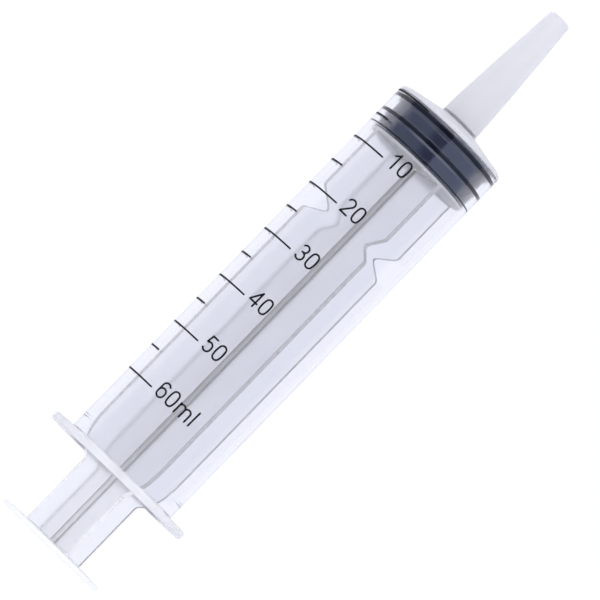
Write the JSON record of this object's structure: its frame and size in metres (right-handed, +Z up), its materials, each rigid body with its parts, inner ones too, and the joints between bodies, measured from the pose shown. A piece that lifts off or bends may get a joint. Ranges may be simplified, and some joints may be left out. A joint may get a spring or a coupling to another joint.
{
  "type": "oral syringe",
  "caption": "Clear-barrelled oral syringe with a long tapered tip, crossed-rib plunger rod, rubber piston, finger flange and printed millilitre scale.",
  "frame": {"origin": "middle of the bounding box in X and Y, on the surface the syringe lies on, with the plunger pushed fully in", "axes": "+X along the syringe's axis towards the tip, +Z up, out of the face that carries the scale numerals; the syringe lies on one flat of its finger flange"},
  "size_m": [0.1728, 0.0414, 0.034],
  "materials": {
    "clear_plastic": "clear glossy polypropylene",
    "rod_plastic": "milky translucent polypropylene",
    "piston_rubber": "smooth lubricated dark rubber",
    "ink": "printed black ink"
  },
  "bodies": {
    "barrel_body": {"barrel": "clear_plastic", "scale_lines": "ink", "scale_numerals": "ink"},
    "piston_body": {"piston": "piston_rubber"},
    "rod_body": {"plunger_rod": "rod_plastic"}
  },
  "joints": [
    {"name": "plunger_slide", "type": "slide", "parent": "barrel_body", "child": "piston_body", "axis": [1, 0, 0], "range_m": [-0.0953, 0.0005]},
    {"name": "rod_twist", "type": "hinge", "parent": "piston_body", "child": "rod_body", "pos_m": [0.03882, 0, 0.017], "axis": [1, 0, 0], "continuous": true}
  ]
}
